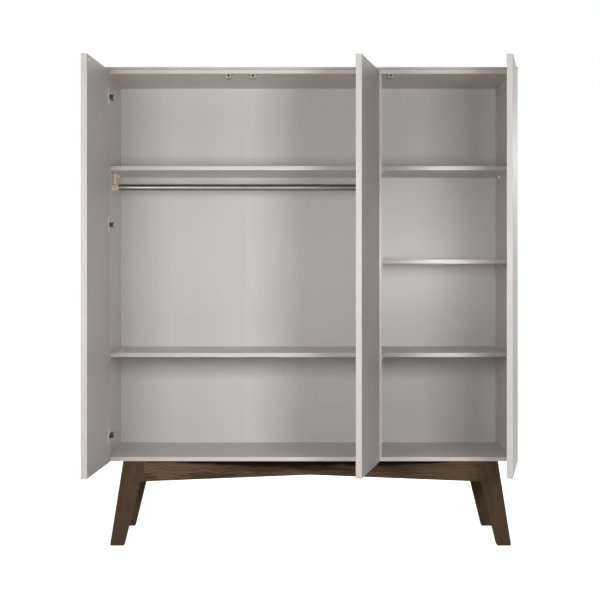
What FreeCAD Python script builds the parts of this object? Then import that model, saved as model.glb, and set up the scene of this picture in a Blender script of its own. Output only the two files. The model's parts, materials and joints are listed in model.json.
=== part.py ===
"""A three-door wardrobe on a splayed timber base, its doors standing open.

Frame: millimetres, +Z up. The origin is on the floor under the middle of the
carcass. The doors face -Y, and +X is to the right of someone who faces them.
"""
import FreeCAD
import Part
import os

# Carcass sizes
carcass_width = 1600.0
carcass_height = 1513.0
carcass_depth = 560.0
base_height = 329.0
board_thickness = 16.0
cap_thickness = 7.0
cap_end_inset = 2.0
back_thickness = 5.0
back_inset = 8.0
groove_depth = 6.0
groove_clearance = 0.2
seam_x = -276.0
strip_width = 11.0
strip_skin = 1.5
sheet_joint = 1.0

# Compartments, measured between boards
lower_bay_height = 386.0
hanging_bay_height = 706.0
shelf_setback = 3.0
shelf_side_clearance = 0.5
shelf_rear_clearance = 1.0

# Doors
door_count = 3
door_thickness = 22.0
door_gap = 3.0
door_top_gap = 5.5
door_drop = 2.0
left_door_rest = 93.0
middle_door_rest = 79.9
right_door_rest = 80.2

# Concealed hinges, each with a fixed pivot inside the door
pivot_from_edge = 8.5
pivot_from_back = 15.0
hinge_end_distance = 100.0
middle_hinge_drop = 594.0
cup_radius = 17.5
cup_edge_distance = 22.5
cup_depth = 12.5
cup_wall = 1.5
cup_floor = 1.0
cup_clearance = 0.1
flange_height = 63.0
flange_width = 20.0
flange_thickness = 1.5
flange_rim = 1.5
cup_screw_spacing = 48.0
sweep_radius = 17.8
plate_screw_depth = 37.0
plate_screw_spacing = 32.0
plate_thickness = 3.0
plate_height = 48.0
plate_wing = 18.0
plate_rail_length = 44.0
plate_rail_height = 14.0
arm_rise = 15.0
arm_height = 11.0
arm_width = 18.0
arm_rear = 64.0
arm_front = 6.0
arm_skin = 1.5
nose_from_pivot = 5.0
cheek_inner = 5.4
cheek_outer = 8.0
link_half_width = 4.6
link_thickness = 1.8
link_running_gap = 0.2
link_low_angle = 14.0
link_high_angle = 66.0
link_share = 0.55

# Push latches under the top board
latch_offset_left = 51.0
latch_offset_right = 43.5
latch_width = 22.0
latch_height = 17.5
latch_length = 46.0
latch_setback = 2.0
latch_axis_drop = 7.0
latch_ear_length = 9.0
latch_ear_thickness = 3.0
latch_screw_setback = 9.0
latch_corner_radius = 2.5
plunger_radius = 4.8
plunger_running_gap = 0.4
plunger_length = 34.0
plunger_travel = 2.0
plunger_standoff = 0.3
plunger_collar_radius = 6.0
plunger_collar_length = 3.0
plunger_collar_depth = 12.0
strike_radius = 7.0
strike_thickness = 1.5
strike_pin_radius = 2.0
strike_pin_length = 8.0

# Hanging rail
rail_radius = 12.5
rail_wall = 1.2
rail_depth = 170.0
rail_drop = 58.5
rail_end_gap = 6.0
socket_length = 26.0
socket_wall = 2.0
socket_floor = 4.0
socket_clearance = 0.15
stem_width = 9.5
stem_depth = 16.0
stem_side_gap = 7.2
hanger_boss_radius = 6.0
hanger_boss_height = 8.0
hanger_flange_width = 29.0
hanger_flange_depth = 24.0
hanger_flange_thickness = 3.5
hanger_peg_radius = 4.0
hanger_peg_length = 8.0
grub_radius = 2.5
grub_sink = 0.8

# Shelf pins
pin_peg_radius = 2.5
pin_peg_length = 7.5
pin_head_radius = 4.5
pin_head_length = 7.0
pin_flat = 3.5
pin_front_depth = 37.0
pin_rear_depth = 408.0

# Cam fittings, dowels and screws of the carcass
cam_radius = 7.5
cam_depth = 12.5
cam_clearance = 0.1
cam_end_distance = 35.0
cam_front_depth = 50.0
cam_middle_depth = 238.0
cam_rear_depth = 440.0
cam_slot_width = 1.6
cam_slot_length = 8.0
cam_slot_depth = 2.0
bolt_radius = 3.5
bolt_hole_radius = 3.9
bolt_thread_length = 11.0
dowel_radius = 4.0
dowel_length = 30.0
dowel_set_depth = 10.0
dowel_from_cam = 32.0
long_screw_radius = 3.5
long_screw_length = 50.0
long_screw_head_radius = 5.0
long_screw_head_height = 3.0

# Small countersunk screws of the fittings
small_screw_radius = 1.75
small_screw_length = 15.0
small_head_radius = 3.5
small_head_height = 1.8
cross_width = 0.9
cross_depth = 0.9
cross_reach_share = 0.6
machine_screw_radius = 3.0
machine_head_radius = 3.8
machine_head_height = 1.6

# Timber base
leg_thickness = 40.0
leg_top_inset = 75.0
leg_foot_inset = 23.5
leg_foot_width = 54.5
leg_shoulder_width = 80.0
leg_knee_inset = 15.8
apron_end_height = 80.0
apron_middle_height = 54.5
apron_thickness = 24.0
apron_setback = 1.0
front_leg_inset = 12.0
rear_leg_inset = 6.0
side_rail_thickness = 24.0
side_rail_height = 60.0
foot_corner_radius = 5.0
glide_radius = 10.0
glide_thickness = 3.0
glide_proud = 1.0
frame_dowel_radius = 5.0
frame_dowel_length = 50.0
frame_dowel_spacing = 30.0
bracket_leg = 30.0
bracket_width = 22.0
bracket_skin = 2.0

# One overrun serves every cut that goes right through
overrun = 1.0

# Places worked out from the sizes above
left_x = -carcass_width / 2
right_x = carcass_width / 2
front_y = -carcass_depth / 2
rear_y = carcass_depth / 2
top_z = base_height + carcass_height
floor_top_z = base_height + board_thickness
ceiling_z = top_z - board_thickness
inner_left_x = left_x + board_thickness
inner_right_x = right_x - board_thickness
bay_pitch = carcass_width / door_count
divider_x = left_x + (door_count - 1) * bay_pitch
divider_left_x = divider_x - board_thickness / 2
divider_right_x = divider_x + board_thickness / 2
sheet_front_y = rear_y - back_inset - back_thickness
lower_shelf_z = floor_top_z + lower_bay_height
upper_shelf_z = lower_shelf_z + board_thickness + hanging_bay_height
narrow_bay_height = (hanging_bay_height - board_thickness) / 2
middle_shelf_z = lower_shelf_z + board_thickness + narrow_bay_height
door_width = bay_pitch - door_gap
door_back_y = front_y - door_gap
door_bottom_z = base_height - door_drop
door_top_z = top_z - door_top_gap
pivot_y = door_back_y - pivot_from_back
cam_depths = [cam_front_depth, cam_middle_depth, cam_rear_depth]
hinge_heights = [
    door_top_z - hinge_end_distance,
    door_top_z - middle_hinge_drop,
    door_bottom_z + hinge_end_distance,
]

X_AXIS = FreeCAD.Vector(1, 0, 0)
Y_AXIS = FreeCAD.Vector(0, 1, 0)
Z_AXIS = FreeCAD.Vector(0, 0, 1)

nodes = {}


def at(x, y, z):
    return FreeCAD.Vector(x, y, z)


def block(x_low, x_high, y_low, y_high, z_low, z_high):
    """A box between two corners."""
    size = (x_high - x_low, y_high - y_low, z_high - z_low)
    return Part.makeBox(*size, at(x_low, y_low, z_low))


def rod(radius, length, start, direction):
    """A round bar from its start point along a direction."""
    return Part.makeCylinder(radius, length, start, direction)


def cut_all(shape, tools):
    """The shape with every tool taken away, cut in one go."""
    return shape.cut(tools) if tools else shape


def slanted(outline, y_low, thickness):
    """A plate whose outline lies in the XZ plane, thickened along +Y."""
    points = [at(x, y_low, z) for x, z in outline]
    wire = Part.makePolygon(points + [points[0]])
    return Part.Face(wire).extrude(Y_AXIS * thickness)


def round_edges(shape, radius, chosen):
    """The shape with a fillet on the edges that the test picks."""
    edges = [edge for edge in shape.Edges if chosen(edge)]
    return shape.makeFillet(radius, edges) if edges else shape


def is_along(edge, direction):
    """True for a straight edge that runs along the direction."""
    ends = edge.Vertexes[-1].Point.sub(edge.Vertexes[0].Point)
    return ends.Length > 0 and abs(ends.normalize().dot(direction)) > 0.999


def screw(radius, length, head_radius, head_height, face_point, inward):
    """A countersunk screw whose head lies flush in the face at face_point."""
    shank = rod(radius, length, face_point, inward)
    head = Part.makeCone(head_radius, radius, head_height, face_point, inward)
    body = shank.fuse(head)
    side = inward.cross(Z_AXIS if abs(inward.z) < 0.5 else X_AXIS)
    up = inward.cross(side)
    for across, along in ((side, up), (up, side)):
        bar = cross_bar(face_point, inward, across, along, head_radius)
        body = body.cut(bar)
    return body


def cross_bar(face_point, inward, across, along, head_radius):
    """One bar of the driver recess in a screw head."""
    half = cross_width / 2
    reach = head_radius * cross_reach_share
    corner = face_point - along * reach - across * half - inward * overrun
    points = [corner, corner + along * reach * 2]
    points += [points[1] + across * cross_width, corner + across * cross_width]
    face = Part.Face(Part.makePolygon(points + [corner]))
    return face.extrude(inward * (overrun + cross_depth))


def small_screw(face_point, inward):
    return screw(
        small_screw_radius,
        small_screw_length,
        small_head_radius,
        small_head_height,
        face_point,
        inward,
    )


def small_screw_hole(face_point, inward):
    """The hole and countersink that the small screw fills."""
    shank = rod(small_screw_radius, small_screw_length, face_point, inward)
    head = Part.makeCone(
        small_head_radius, small_screw_radius, small_head_height, face_point, inward
    )
    return shank.fuse(head)


# Carcass joints: cam fittings above, dowels at both ends and screws below
upright_faces = [
    (left_x + board_thickness / 2, inner_left_x, X_AXIS),
    (divider_x, divider_left_x, -X_AXIS),
    (right_x - board_thickness / 2, inner_right_x, -X_AXIS),
]


def cam_points(face_x):
    return [at(face_x, front_y + depth, ceiling_z - cam_end_distance) for depth in cam_depths]


def dowel_depths():
    return [depth + dowel_from_cam for depth in cam_depths]


def cam_pockets(face_x, outward):
    pockets = []
    for point in cam_points(face_x):
        pockets.append(rod(cam_radius + cam_clearance, cam_depth, point, -outward))
    return pockets


def bolt_holes(middle_x):
    length = cam_end_distance + bolt_thread_length
    starts = [at(middle_x, front_y + depth, ceiling_z - cam_end_distance) for depth in cam_depths]
    return [rod(bolt_hole_radius, length, start, Z_AXIS) for start in starts]


def dowels_for(middle_x, grow=0.0):
    """The dowels at both ends of one upright."""
    pegs = []
    top_start = ceiling_z + dowel_set_depth - dowel_length - grow
    low_start = floor_top_z - dowel_set_depth - grow
    for depth in dowel_depths():
        for start_z in (top_start, low_start):
            start = at(middle_x, front_y + depth, start_z)
            pegs.append(rod(dowel_radius, dowel_length + grow * 2, start, Z_AXIS))
    return pegs


def long_screws_for(middle_x):
    screws = []
    for depth in cam_depths:
        start = at(middle_x, front_y + depth, base_height)
        screws.append(
            screw(
                long_screw_radius,
                long_screw_length,
                long_screw_head_radius,
                long_screw_head_height,
                start,
                Z_AXIS,
            )
        )
    return screws


def long_screw_holes(middle_x):
    holes = []
    for depth in cam_depths:
        start = at(middle_x, front_y + depth, base_height)
        shank = rod(long_screw_radius, long_screw_length, start, Z_AXIS)
        head = Part.makeCone(
            long_screw_head_radius, long_screw_radius, long_screw_head_height, start, Z_AXIS
        )
        holes.append(shank.fuse(head))
    return holes


# Shelf pins
def pin_points(face_x, shelf_z):
    height = shelf_z - pin_flat
    return [at(face_x, front_y + depth, height) for depth in (pin_front_depth, pin_rear_depth)]


def pin_holes(face_x, outward, shelf_heights):
    holes = []
    for shelf_z in shelf_heights:
        for point in pin_points(face_x, shelf_z):
            holes.append(rod(pin_peg_radius, pin_peg_length, point, -outward))
    return holes


def shelf_pin(point, outward, shelf_z):
    """A peg with a round head, flat on top where the shelf rests."""
    peg = rod(pin_peg_radius, pin_peg_length, point, -outward)
    head = rod(pin_head_radius, pin_head_length, point, outward)
    low = point - X_AXIS * pin_head_length * 2 - Y_AXIS * pin_head_radius * 2
    over = Part.makeBox(
        pin_head_length * 4, pin_head_radius * 4, pin_head_radius, at(low.x, low.y, shelf_z)
    )
    return head.cut(over).fuse(peg)


wide_shelves = [lower_shelf_z, upper_shelf_z]
narrow_shelves = [lower_shelf_z, middle_shelf_z, upper_shelf_z]


def back_groove(x_low, x_high, z_low, z_high):
    """The slot that takes an edge of the back sheets."""
    y_low = sheet_front_y
    y_high = sheet_front_y + back_thickness + groove_clearance
    return block(x_low, x_high, y_low, y_high, z_low, z_high)


# Hinges: every place is measured from the pivot line of its door
class HingeLine:
    """One door's hinge line: the board that carries it and the door's pivot.

    inward is +1 where the door reaches to +X from its hinges, -1 where to -X.
    """

    def __init__(self, name, face_x, edge_x, inward, rest_angle):
        self.name = name
        self.face_x = face_x
        self.edge_x = edge_x
        self.inward = inward
        self.rest_angle = rest_angle
        self.pivot_x = edge_x + inward * pivot_from_edge
        self.direction = X_AXIS * inward

    def x_at(self, from_pivot):
        return self.pivot_x + self.inward * from_pivot

    def span(self, low, high):
        """Two X places, in order, for two distances inward of the pivot."""
        return sorted((self.x_at(low), self.x_at(high)))

    def opened(self, shape, share=1.0):
        """The shape turned about the pivot from closed to the rest angle."""
        turned = shape.copy()
        angle = -self.inward * self.rest_angle * share
        turned.rotate(at(self.pivot_x, pivot_y, 0), Z_AXIS, angle)
        return turned


left_line = HingeLine(
    "left", inner_left_x, left_x + door_gap / 2, 1, left_door_rest
)
middle_line = HingeLine(
    "middle", divider_left_x, divider_x - door_gap / 2, -1, middle_door_rest
)
right_line = HingeLine(
    "right", inner_right_x, right_x - door_gap / 2, -1, right_door_rest
)
hinge_lines = [left_line, middle_line, right_line]


def plate_reach(line):
    """How far the mounting plate's top stands off its board."""
    face_from_pivot = (line.face_x - line.pivot_x) * line.inward
    return arm_rise - face_from_pivot


def plate_screw_points(line, height):
    y = front_y + plate_screw_depth
    offsets = (-plate_screw_spacing / 2, plate_screw_spacing / 2)
    x = line.face_x + line.inward * plate_thickness
    return [at(x, y, height + offset) for offset in offsets]


def plate_screw_holes(line):
    holes = []
    for height in hinge_heights:
        for point in plate_screw_points(line, height):
            holes.append(small_screw_hole(point, -line.direction))
    return holes


def mounting_plate(line, height):
    """A winged plate with a raised rail that carries the hinge arm."""
    y = front_y + plate_screw_depth
    x_face = line.face_x
    x_wing = x_face + line.inward * plate_thickness
    x_top = x_face + line.inward * plate_reach(line)
    wing_x = sorted((x_face, x_wing))
    rail_x = sorted((x_face, x_top))
    wing = block(
        *wing_x,
        y - plate_wing / 2,
        y + plate_wing / 2,
        height - plate_height / 2,
        height + plate_height / 2,
    )
    rail = block(
        *rail_x,
        y - plate_rail_length / 2,
        y + plate_rail_length / 2,
        height - plate_rail_height / 2,
        height + plate_rail_height / 2,
    )
    holes = [small_screw_hole(p, -line.direction) for p in plate_screw_points(line, height)]
    holes += [arm_screw_hole(line, height, y) for y in arm_screw_places()]
    return cut_all(wing.fuse(rail).removeSplitter(), holes)


def arm_screw_places():
    centre = front_y + plate_screw_depth
    return (centre - plate_rail_length / 4, centre + plate_rail_length / 4)


def arm_screw_start(line, height, y):
    x = line.x_at(arm_rise + arm_skin + machine_head_height)
    return at(x, y, height)


def arm_screw_hole(line, height, y):
    length = plate_reach(line)
    start = at(line.x_at(arm_rise + arm_skin), y, height)
    return rod(machine_screw_radius, length, start, -line.direction)


def arm_screw(line, height, y):
    """A round-headed screw from the arm's floor into the plate's rail."""
    start = arm_screw_start(line, height, y)
    length = plate_reach(line) + machine_head_height
    shank = rod(machine_screw_radius, length, start, -line.direction)
    head = rod(machine_head_radius, machine_head_height, start, -line.direction)
    body = shank.fuse(head)
    for across, along in ((Y_AXIS, Z_AXIS), (Z_AXIS, Y_AXIS)):
        bar = cross_bar(start, -line.direction, across, along, machine_head_radius)
        body = body.cut(bar)
    return body


def hinge_arm(line, height):
    """A channel on the plate, with two cheeks that reach into the door's cup."""
    low_x, high_x = line.span(arm_rise, arm_rise + arm_height)
    half = arm_width / 2
    y_front = front_y + arm_front
    y_rear = front_y + arm_rear
    body = block(low_x, high_x, y_front, y_rear, height - half, height + half)
    in_x = line.span(arm_rise + arm_skin, arm_rise + arm_height + overrun)
    inner_half = half - arm_skin
    hollow_start = y_front + (y_front - front_y)
    hollow = block(
        *in_x, hollow_start, y_rear + overrun, height - inner_half, height + inner_half
    )
    holes = [arm_screw_hole(line, height, y) for y in arm_screw_places()]
    body = cut_all(body, [hollow] + holes)
    tip_y = pivot_y + nose_from_pivot
    for side in (-1, 1):
        z_pair = sorted((height + side * cheek_inner, height + side * cheek_outer))
        cheek = block(low_x, high_x, tip_y, y_front, *z_pair)
        body = body.fuse(cheek)
    sweep = rod(
        sweep_radius, arm_width * 2, at(line.pivot_x, pivot_y, height - arm_width), Z_AXIS
    )
    return body.cut(sweep).removeSplitter()


def hinge_link(line, height):
    """A curved strap between the cup and the arm, about the pivot line."""
    inner = sweep_radius + link_running_gap
    outer = inner + link_thickness
    z_low = height - link_half_width
    sweep_angle = link_high_angle - link_low_angle
    centre = at(line.pivot_x, pivot_y, z_low)
    ring = Part.makeCylinder(outer, link_half_width * 2, centre, Z_AXIS, sweep_angle)
    hole = Part.makeCylinder(inner, link_half_width * 2, centre, Z_AXIS, sweep_angle)
    strap = ring.cut(hole)
    start_angle = link_low_angle if line.inward > 0 else 180 - link_high_angle
    strap.rotate(centre, Z_AXIS, start_angle)
    return strap


def cup_centre(line, height):
    x = line.edge_x + line.inward * cup_edge_distance
    return at(x, door_back_y, height)


def cup_screw_points(line, height):
    centre = cup_centre(line, height)
    offset = Z_AXIS * (cup_screw_spacing / 2)
    back = Y_AXIS * flange_thickness
    return [centre + back + offset, centre + back - offset]


def hinge_cup(line, height):
    """The cup let into the door, with its screwed flange on the door's back."""
    centre = cup_centre(line, height)
    shell = rod(cup_radius, cup_depth, centre, -Y_AXIS)
    rim = rod(cup_radius + flange_rim, flange_thickness, centre, Y_AXIS)
    x_low = centre.x - flange_width / 2
    z_low = height - flange_height / 2
    bar = Part.makeBox(
        flange_width, flange_thickness, flange_height, at(x_low, door_back_y, z_low)
    )
    bar = round_edges(bar, flange_width / 4, lambda edge: is_along(edge, Y_AXIS))
    hollow_start = centre + Y_AXIS * (flange_thickness + overrun)
    hollow_length = cup_depth - cup_floor + flange_thickness + overrun
    hollow = rod(cup_radius - cup_wall, hollow_length, hollow_start, -Y_AXIS)
    holes = [small_screw_hole(point, -Y_AXIS) for point in cup_screw_points(line, height)]
    return cut_all(shell.fuse([rim, bar]), [hollow] + holes)


def door_panel(line):
    """A flat door with the pockets for its cups, screws and strike."""
    far_x = line.edge_x + line.inward * door_width
    x_low, x_high = sorted((line.edge_x, far_x))
    panel = block(
        x_low, x_high, door_back_y - door_thickness, door_back_y, door_bottom_z, door_top_z
    )
    cuts = []
    for height in hinge_heights:
        centre = cup_centre(line, height)
        cuts.append(rod(cup_radius + cup_clearance, cup_depth, centre, -Y_AXIS))
        for point in cup_screw_points(line, height):
            cuts.append(small_screw_hole(point, -Y_AXIS))
    pin_start = latch_point(line, door_back_y)
    cuts.append(rod(strike_pin_radius, strike_pin_length, pin_start, -Y_AXIS))
    return cut_all(panel, cuts)


# Push latches
latch_places = {
    "left": left_x + bay_pitch - latch_offset_left,
    "middle": left_x + bay_pitch + latch_offset_right,
    "right": divider_x + latch_offset_right,
}


def latch_point(line, y):
    return at(latch_places[line.name], y, ceiling_z - latch_axis_drop)


def latch_screw_points(line):
    centre = latch_places[line.name]
    reach = latch_width / 2 + latch_ear_length / 2
    y = front_y + latch_setback + latch_screw_setback
    z = ceiling_z - latch_ear_thickness
    return [at(centre - reach, y, z), at(centre + reach, y, z)]


def latch_housing(line):
    """A case under the top board, with an ear and a screw on each side."""
    x = latch_places[line.name]
    y_low = front_y + latch_setback
    y_high = y_low + latch_length
    half = latch_width / 2
    case = block(x - half, x + half, y_low, y_high, ceiling_z - latch_height, ceiling_z)
    case = round_edges(case, latch_corner_radius, lambda edge: edge_is_low(edge, y_low))
    ear_half = half + latch_ear_length
    ears = block(
        x - ear_half,
        x + ear_half,
        y_low + overrun,
        y_low + latch_screw_setback * 2,
        ceiling_z - latch_ear_thickness,
        ceiling_z,
    )
    mouth = latch_point(line, y_low - overrun)
    bore_length = plunger_length + plunger_travel * 2
    bore = rod(plunger_radius + plunger_running_gap, bore_length, mouth, Y_AXIS)
    chamber_start = latch_point(line, plunger_collar_y() - plunger_running_gap)
    chamber_length = plunger_collar_length + plunger_travel + plunger_running_gap * 2
    chamber = rod(
        plunger_collar_radius + plunger_running_gap, chamber_length, chamber_start, Y_AXIS
    )
    holes = [small_screw_hole(point, Z_AXIS) for point in latch_screw_points(line)]
    return cut_all(case.fuse(ears), [bore, chamber] + holes)


def edge_is_low(edge, y_low):
    """True for the long lower corners and the front corners of a case."""
    middle = edge.CenterOfMass
    low = middle.z < ceiling_z - latch_height / 2
    return low and (is_along(edge, Y_AXIS) or middle.y < y_low + overrun and is_along(edge, X_AXIS))


def plunger_tip_y():
    return door_back_y + strike_thickness + plunger_standoff


def plunger_collar_y():
    return plunger_tip_y() + plunger_collar_depth


def latch_plunger(line):
    """A sprung pin with a collar that keeps it in its case."""
    body = rod(plunger_radius, plunger_length, latch_point(line, plunger_tip_y()), Y_AXIS)
    collar_start = latch_point(line, plunger_collar_y())
    collar = rod(plunger_collar_radius, plunger_collar_length, collar_start, Y_AXIS)
    return body.fuse(collar).removeSplitter()


def strike_plate(line):
    """A steel disc on the door's back, held by its own pin."""
    start = latch_point(line, door_back_y)
    disc = rod(strike_radius, strike_thickness, start, Y_AXIS)
    pin = rod(strike_pin_radius, strike_pin_length, start, -Y_AXIS)
    return disc.fuse(pin)


# Hanging rail
rail_y = front_y + rail_depth
rail_z = upper_shelf_z - rail_drop


def rail_axis_point(x):
    return at(x, rail_y, rail_z)


def peg_point(face_x, inward):
    x = face_x + inward * (stem_side_gap + stem_width / 2)
    return at(x, rail_y, upper_shelf_z)


def rail_bracket(face_x, inward):
    """A hanger with a plate and peg under the shelf and a socket for the rail."""
    direction = X_AXIS * inward
    flange_top = upper_shelf_z - hanger_boss_height
    flange_low = flange_top - hanger_flange_thickness
    peg = peg_point(face_x, inward)
    boss = rod(hanger_boss_radius, hanger_boss_height, at(peg.x, peg.y, flange_top), Z_AXIS)
    pin = rod(hanger_peg_radius, hanger_peg_length, peg, Z_AXIS)
    plate_x = sorted((face_x, face_x + inward * hanger_flange_width))
    plate_y = (rail_y - hanger_flange_depth / 2, rail_y + hanger_flange_depth / 2)
    plate = block(*plate_x, *plate_y, flange_low, flange_top)
    stem_low = face_x + inward * stem_side_gap
    stem_x = sorted((stem_low, stem_low + inward * stem_width))
    stem_y = (rail_y - stem_depth / 2, rail_y + stem_depth / 2)
    stem = block(*stem_x, *stem_y, rail_z, flange_low)
    socket_radius = rail_radius + socket_clearance + socket_wall
    socket = rod(socket_radius, socket_length, rail_axis_point(face_x), direction)
    body = socket.fuse([stem, plate, boss, pin]).removeSplitter()
    bore_start = rail_axis_point(face_x + inward * socket_floor)
    bore = rod(rail_radius + socket_clearance, socket_length, bore_start, direction)
    screw_face = rail_axis_point(face_x + inward * socket_floor)
    screw_hole = small_screw_hole(screw_face, -direction)
    return cut_all(body, [bore, screw_hole, grub_hole(face_x, inward)])


def grub_start(face_x, inward):
    x = face_x + inward * (stem_side_gap + stem_width / 2)
    return at(x, rail_y - rail_radius - socket_clearance, rail_z)


def grub_hole(face_x, inward):
    return rod(grub_radius, socket_wall * 2, grub_start(face_x, inward), -Y_AXIS)


def grub_screw(face_x, inward):
    """A headless screw that grips the rail's end."""
    length = socket_wall - grub_sink
    return rod(grub_radius, length, grub_start(face_x, inward), -Y_AXIS)


def rail_tube():
    left_end = inner_left_x + rail_end_gap
    right_end = divider_left_x - rail_end_gap
    length = right_end - left_end
    outer = rod(rail_radius, length, rail_axis_point(left_end), X_AXIS)
    start = rail_axis_point(left_end - overrun)
    inner = rod(rail_radius - rail_wall, length + overrun * 2, start, X_AXIS)
    return outer.cut(inner)


rail_hangers = [(inner_left_x, 1, "left"), (divider_left_x, -1, "right")]

# Timber base
leg_top_x = carcass_width / 2 - leg_top_inset
leg_foot_x = carcass_width / 2 - leg_foot_inset
leg_inner_x = leg_top_x - leg_shoulder_width
front_leg_y = front_y + front_leg_inset
rear_leg_y = rear_y - rear_leg_inset - leg_thickness
knee_z = base_height - apron_end_height


def leg(side, y_low):
    """A tapered leg whose top block meets the aprons."""
    outline = [
        (side * leg_top_x, base_height),
        (side * leg_foot_x, glide_proud),
        (side * (leg_foot_x - leg_foot_width), glide_proud),
        (side * (leg_inner_x + leg_knee_inset), knee_z),
        (side * leg_inner_x, knee_z),
        (side * leg_inner_x, base_height),
    ]
    body = slanted(outline, y_low, leg_thickness)
    body = round_edges(body, foot_corner_radius, is_foot_corner)
    cuts = frame_dowel_set(side, y_low)
    glide_low = foot_centre(side, y_low)
    cuts.append(rod(glide_radius, glide_thickness, glide_low, Z_AXIS))
    return cut_all(body, cuts)


def is_foot_corner(edge):
    return edge.CenterOfMass.z < glide_proud + foot_corner_radius and is_along(edge, Y_AXIS)


def foot_centre(side, y_low):
    return at(side * (leg_foot_x - leg_foot_width / 2), y_low + leg_thickness / 2, 0)


def glide(side, y_low):
    return rod(glide_radius, glide_thickness, foot_centre(side, y_low), Z_AXIS)


def apron_low_y(y_low):
    """The aprons' front faces: near the outside of the base, front and rear."""
    if y_low < 0:
        return y_low + apron_setback
    return y_low + leg_thickness - apron_setback - apron_thickness


def apron(y_low):
    """A rail whose lower edge rises to the middle."""
    outline = [
        (-leg_inner_x, base_height),
        (-leg_inner_x, base_height - apron_end_height),
        (0, base_height - apron_middle_height),
        (leg_inner_x, base_height - apron_end_height),
        (leg_inner_x, base_height),
    ]
    body = slanted(outline, apron_low_y(y_low), apron_thickness)
    cuts = [peg for side in (-1, 1) for peg in apron_dowels(side, y_low)]
    return cut_all(body, cuts)


def dowel_heights():
    middle = base_height - side_rail_height / 2
    return (middle - frame_dowel_spacing / 2, middle + frame_dowel_spacing / 2)


def apron_dowels(side, y_low):
    y = apron_low_y(y_low) + apron_thickness / 2
    x = side * leg_inner_x - frame_dowel_length / 2
    return [rod(frame_dowel_radius, frame_dowel_length, at(x, y, z), X_AXIS) for z in dowel_heights()]


def side_rail_x(side):
    middle = side * (leg_top_x - leg_shoulder_width / 2)
    return middle - side_rail_thickness / 2, middle + side_rail_thickness / 2


def rail_dowels(side, y_low):
    low_x, high_x = side_rail_x(side)
    joint_y = y_low + leg_thickness if y_low < 0 else y_low
    y = joint_y - frame_dowel_length / 2
    x = (low_x + high_x) / 2
    return [rod(frame_dowel_radius, frame_dowel_length, at(x, y, z), Y_AXIS) for z in dowel_heights()]


def frame_dowel_set(side, y_low):
    return apron_dowels(side, y_low) + rail_dowels(side, y_low)


def side_rail(side):
    low_x, high_x = side_rail_x(side)
    body = block(
        low_x,
        high_x,
        front_leg_y + leg_thickness,
        rear_leg_y,
        base_height - side_rail_height,
        base_height,
    )
    return cut_all(body, rail_dowels(side, front_leg_y) + rail_dowels(side, rear_leg_y))


def base_bracket_places():
    """Where the angles tie the aprons to the carcass floor."""
    inside_front = apron_low_y(front_leg_y) + apron_thickness
    inside_rear = apron_low_y(rear_leg_y)
    reach = leg_inner_x - bracket_leg * 2
    places = []
    for x in (-reach, 0, reach):
        places.append((x, inside_front, 1))
        places.append((x, inside_rear, -1))
    return places


def base_bracket(x, y, inward):
    """A steel angle under the floor board and against an apron."""
    low_x = x - bracket_width / 2
    high_x = x + bracket_width / 2
    flat_y = sorted((y, y + inward * bracket_leg))
    wall_y = sorted((y, y + inward * bracket_skin))
    flat = block(low_x, high_x, *flat_y, base_height - bracket_skin, base_height)
    wall = block(low_x, high_x, *wall_y, base_height - bracket_leg, base_height)
    holes = [small_screw_hole(point, way) for point, way in base_screw_places(x, y, inward)]
    return cut_all(flat.fuse(wall).removeSplitter(), holes)


def base_screw_places(x, y, inward):
    middle = (bracket_leg + bracket_skin) / 2
    up = at(x, y + inward * middle, base_height - bracket_skin)
    across = at(x, y + inward * bracket_skin, base_height - middle)
    return [(up, Z_AXIS), (across, Y_AXIS * -inward)]


def all_base_screws():
    return [place for spot in base_bracket_places() for place in base_screw_places(*spot)]


# Carcass boards
def side_panel(face_x, outward, middle_x):
    x_low, x_high = sorted((face_x, face_x - outward.x * board_thickness))
    panel = block(x_low, x_high, front_y, rear_y, floor_top_z, ceiling_z)
    line = left_line if outward.x > 0 else right_line
    shelves = wide_shelves if outward.x > 0 else narrow_shelves
    groove_end = face_x - outward.x * groove_depth
    cuts = cam_pockets(face_x, outward) + bolt_holes(middle_x)
    cuts += dowels_for(middle_x, overrun) + long_screw_holes(middle_x)
    cuts += pin_holes(face_x, outward, shelves) + plate_screw_holes(line)
    cuts.append(back_groove(*sorted((face_x, groove_end)), floor_top_z, ceiling_z))
    if outward.x > 0:
        cuts.append(small_screw_hole(rail_axis_point(face_x + socket_floor), -X_AXIS))
    return cut_all(panel, cuts)


def divider():
    panel = block(
        divider_left_x, divider_right_x, front_y, sheet_front_y, floor_top_z, ceiling_z
    )
    cuts = cam_pockets(divider_left_x, -X_AXIS) + bolt_holes(divider_x)
    cuts += dowels_for(divider_x, overrun) + long_screw_holes(divider_x)
    cuts += pin_holes(divider_left_x, -X_AXIS, wide_shelves)
    cuts += pin_holes(divider_right_x, X_AXIS, narrow_shelves)
    cuts += plate_screw_holes(middle_line)
    cuts.append(small_screw_hole(rail_axis_point(divider_left_x - socket_floor), X_AXIS))
    return cut_all(panel, cuts)


def top_board():
    board = block(left_x, right_x, front_y, rear_y, ceiling_z, top_z)
    groove = back_groove(
        inner_left_x - groove_depth,
        inner_right_x + groove_depth,
        ceiling_z,
        ceiling_z + groove_depth,
    )
    cuts = [groove]
    for middle_x, face_x, outward in upright_faces:
        cuts += bolt_holes(middle_x) + dowels_for(middle_x, overrun)
    for line in hinge_lines:
        cuts += [small_screw_hole(point, Z_AXIS) for point in latch_screw_points(line)]
    return cut_all(board, cuts)


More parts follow.
